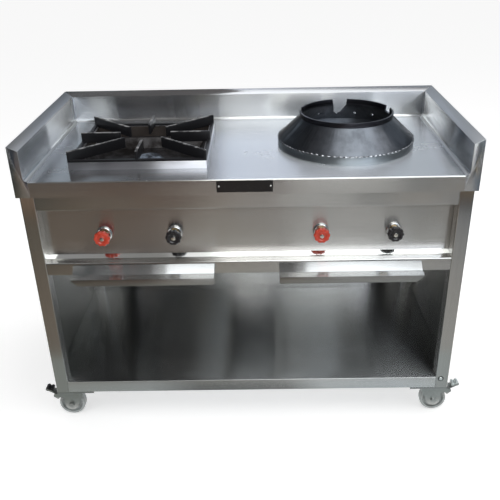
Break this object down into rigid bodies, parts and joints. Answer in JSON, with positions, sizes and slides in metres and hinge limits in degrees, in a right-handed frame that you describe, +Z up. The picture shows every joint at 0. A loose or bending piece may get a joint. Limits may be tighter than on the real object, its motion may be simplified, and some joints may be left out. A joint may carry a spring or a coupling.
{
  "type": "double burner range",
  "caption": "Stainless range on swivel casters with an open burner under a ribbed pan support, a wok burner with a notched ring, splash guards, drip trays and a bottom shelf.",
  "frame": {"origin": "on the floor under the middle of the worktop, metres", "axes": "+X to the cook's right along the worktop, +Y to the back, +Z up"},
  "size_m": [1.28, 0.68, 0.886],
  "materials": {
    "stainless_sheet": "brushed stainless sheet",
    "stainless_tube": "brushed stainless tube",
    "stainless_dark": "heat-stained stainless sheet",
    "black_enamel": "black enamel, satin",
    "black_cast": "black enamelled casting",
    "burner_cast": "raw grey casting",
    "cap_aluminium": "turned aluminium",
    "valve_brass": "machined brass",
    "tube_copper": "drawn tube",
    "pipe_steel": "dark steel pipe",
    "bezel_chrome": "polished chrome",
    "knob_red": "glossy red moulding",
    "knob_black": "glossy black moulding",
    "plate_black": "bare black plate",
    "zinc_steel": "bright zinc plate",
    "wheel_grey": "grey translucent tread",
    "pedal_black": "black pedal pad",
    "pedal_zinc": "bright zinc plate"
  },
  "bodies": {
    "range_frame": {"worktop_deck": "stainless_sheet", "splash_guard_left": "stainless_sheet", "splash_guard_right": "stainless_sheet", "splash_guard_rear": "stainless_sheet", "leg_front_left": "stainless_tube", "leg_front_right": "stainless_tube", "leg_rear_left": "stainless_tube", "leg_rear_right": "stainless_tube", "front_top_rail": "stainless_tube", "front_lower_rail": "stainless_tube", "rear_mid_rail": "stainless_tube", "top_frame_rails": "stainless_tube", "base_rails": "stainless_tube", "bottom_shelf": "stainless_sheet", "side_panel_left": "stainless_sheet", "side_panel_right": "stainless_sheet", "back_panel": "stainless_sheet", "control_panel": "stainless_sheet", "nameplate": "plate_black", "nameplate_rivets": "zinc_steel", "burner_surround": "stainless_sheet", "drip_pan": "stainless_dark", "spill_bowl": "stainless_dark", "burner_body_left": "burner_cast", "burner_body_right": "burner_cast", "burner_bearers": "stainless_tube", "valve_bodies": "valve_brass", "gas_manifold": "pipe_steel", "manifold_clamps": "zinc_steel", "inlet_nipple": "valve_brass", "feed_tubes": "tube_copper", "burner_jets": "valve_brass", "pilot_tubes": "tube_copper", "knob_bezels": "bezel_chrome", "tray_runners": "stainless_sheet", "caster_mount_plates": "stainless_tube", "caster_plates": "zinc_steel", "caster_bolts": "zinc_steel"},
    "knob_main_left": {"knob_main_left": "knob_red"},
    "knob_pilot_left": {"knob_pilot_left": "knob_black"},
    "knob_main_right": {"knob_main_right": "knob_red"},
    "knob_pilot_right": {"knob_pilot_right": "knob_black"},
    "drip_tray_left": {"drip_tray_left": "stainless_sheet"},
    "drip_tray_right": {"drip_tray_right": "stainless_sheet"},
    "pan_support": {"pan_support": "black_enamel"},
    "wok_ring": {"wok_ring": "black_cast"},
    "burner_cap_left": {"burner_cap_left": "cap_aluminium"},
    "burner_cap_right": {"burner_cap_right": "burner_cast"},
    "air_shutter_left": {"air_shutter_left": "zinc_steel"},
    "air_shutter_right": {"air_shutter_right": "zinc_steel"},
    "caster_fork_front_left": {"caster_fork_front_left": "zinc_steel"},
    "caster_wheel_front_left": {"caster_wheel_front_left": "wheel_grey"},
    "brake_pedal_left": {"brake_pedal_left": "pedal_black"},
    "caster_fork_front_right": {"caster_fork_front_right": "zinc_steel"},
    "caster_wheel_front_right": {"caster_wheel_front_right": "wheel_grey"},
    "brake_pedal_right": {"brake_pedal_right": "pedal_zinc"},
    "caster_fork_rear_left": {"caster_fork_rear_left": "zinc_steel"},
    "caster_wheel_rear_left": {"caster_wheel_rear_left": "wheel_grey"},
    "caster_fork_rear_right": {"caster_fork_rear_right": "zinc_steel"},
    "caster_wheel_rear_right": {"caster_wheel_rear_right": "wheel_grey"}
  },
  "joints": [
    {"name": "knob_main_left_turn", "type": "hinge", "parent": "range_frame", "child": "knob_main_left", "pos_m": [-0.393, -0.279, 0.622], "axis": [0, -1, 0], "range_deg": [0, 360]},
    {"name": "knob_pilot_left_turn", "type": "hinge", "parent": "range_frame", "child": "knob_pilot_left", "pos_m": [-0.2, -0.279, 0.622], "axis": [0, -1, 0], "range_deg": [0, 360]},
    {"name": "knob_main_right_turn", "type": "hinge", "parent": "range_frame", "child": "knob_main_right", "pos_m": [0.2, -0.279, 0.622], "axis": [0, -1, 0], "range_deg": [0, 360]},
    {"name": "knob_pilot_right_turn", "type": "hinge", "parent": "range_frame", "child": "knob_pilot_right", "pos_m": [0.398, -0.279, 0.622], "axis": [0, -1, 0], "range_deg": [0, 360]},
    {"name": "drip_tray_left_pull", "type": "slide", "parent": "range_frame", "child": "drip_tray_left", "axis": [0, -1, 0], "range_m": [0, 0.4]},
    {"name": "drip_tray_right_pull", "type": "slide", "parent": "range_frame", "child": "drip_tray_right", "axis": [0, -1, 0], "range_m": [0, 0.4]},
    {"name": "pan_support_lift", "type": "slide", "parent": "range_frame", "child": "pan_support", "axis": [0, 0, 1], "range_m": [0, 0.15]},
    {"name": "wok_ring_lift", "type": "slide", "parent": "range_frame", "child": "wok_ring", "axis": [0, 0, 1], "range_m": [0, 0.15]},
    {"name": "burner_cap_left_lift", "type": "slide", "parent": "range_frame", "child": "burner_cap_left", "axis": [0, 0, 1], "range_m": [0, 0.12]},
    {"name": "burner_cap_right_lift", "type": "slide", "parent": "range_frame", "child": "burner_cap_right", "axis": [0, 0, 1], "range_m": [0, 0.12]},
    {"name": "air_shutter_left_turn", "type": "hinge", "parent": "range_frame", "child": "air_shutter_left", "pos_m": [-0.286, -0.151, 0.705], "axis": [0, -1, 0], "range_deg": [0, 45]},
    {"name": "air_shutter_right_turn", "type": "hinge", "parent": "range_frame", "child": "air_shutter_right", "pos_m": [0.287, -0.151, 0.705], "axis": [0, -1, 0], "range_deg": [0, 45]},
    {"name": "caster_front_left_swivel", "type": "hinge", "parent": "range_frame", "child": "caster_fork_front_left", "pos_m": [-0.536, -0.2435, 0.09], "axis": [0, 0, 1], "continuous": true},
    {"name": "caster_front_left_roll", "type": "hinge", "parent": "caster_fork_front_left", "child": "caster_wheel_front_left", "pos_m": [-0.563, -0.2435, 0.04], "axis": [0, 1, 0], "continuous": true},
    {"name": "brake_left_press", "type": "hinge", "parent": "caster_fork_front_left", "child": "brake_pedal_left", "pos_m": [-0.608, -0.2435, 0.074], "axis": [0, -1, 0], "range_deg": [0, 14]},
    {"name": "caster_front_right_swivel", "type": "hinge", "parent": "range_frame", "child": "caster_fork_front_right", "pos_m": [0.536, -0.2435, 0.09], "axis": [0, 0, 1], "continuous": true},
    {"name": "caster_front_right_roll", "type": "hinge", "parent": "caster_fork_front_right", "child": "caster_wheel_front_right", "pos_m": [0.563, -0.2435, 0.04], "axis": [0, 1, 0], "continuous": true},
    {"name": "brake_right_press", "type": "hinge", "parent": "caster_fork_front_right", "child": "brake_pedal_right", "pos_m": [0.608, -0.2435, 0.074], "axis": [0, 1, 0], "range_deg": [0, 14]},
    {"name": "caster_rear_left_swivel", "type": "hinge", "parent": "range_frame", "child": "caster_fork_rear_left", "pos_m": [-0.536, 0.2435, 0.09], "axis": [0, 0, 1], "continuous": true},
    {"name": "caster_rear_left_roll", "type": "hinge", "parent": "caster_fork_rear_left", "child": "caster_wheel_rear_left", "pos_m": [-0.563, 0.2435, 0.04], "axis": [0, 1, 0], "continuous": true},
    {"name": "caster_rear_right_swivel", "type": "hinge", "parent": "range_frame", "child": "caster_fork_rear_right", "pos_m": [0.536, 0.2435, 0.09], "axis": [0, 0, 1], "continuous": true},
    {"name": "caster_rear_right_roll", "type": "hinge", "parent": "caster_fork_rear_right", "child": "caster_wheel_rear_right", "pos_m": [0.563, 0.2435, 0.04], "axis": [0, 1, 0], "continuous": true}
  ]
}
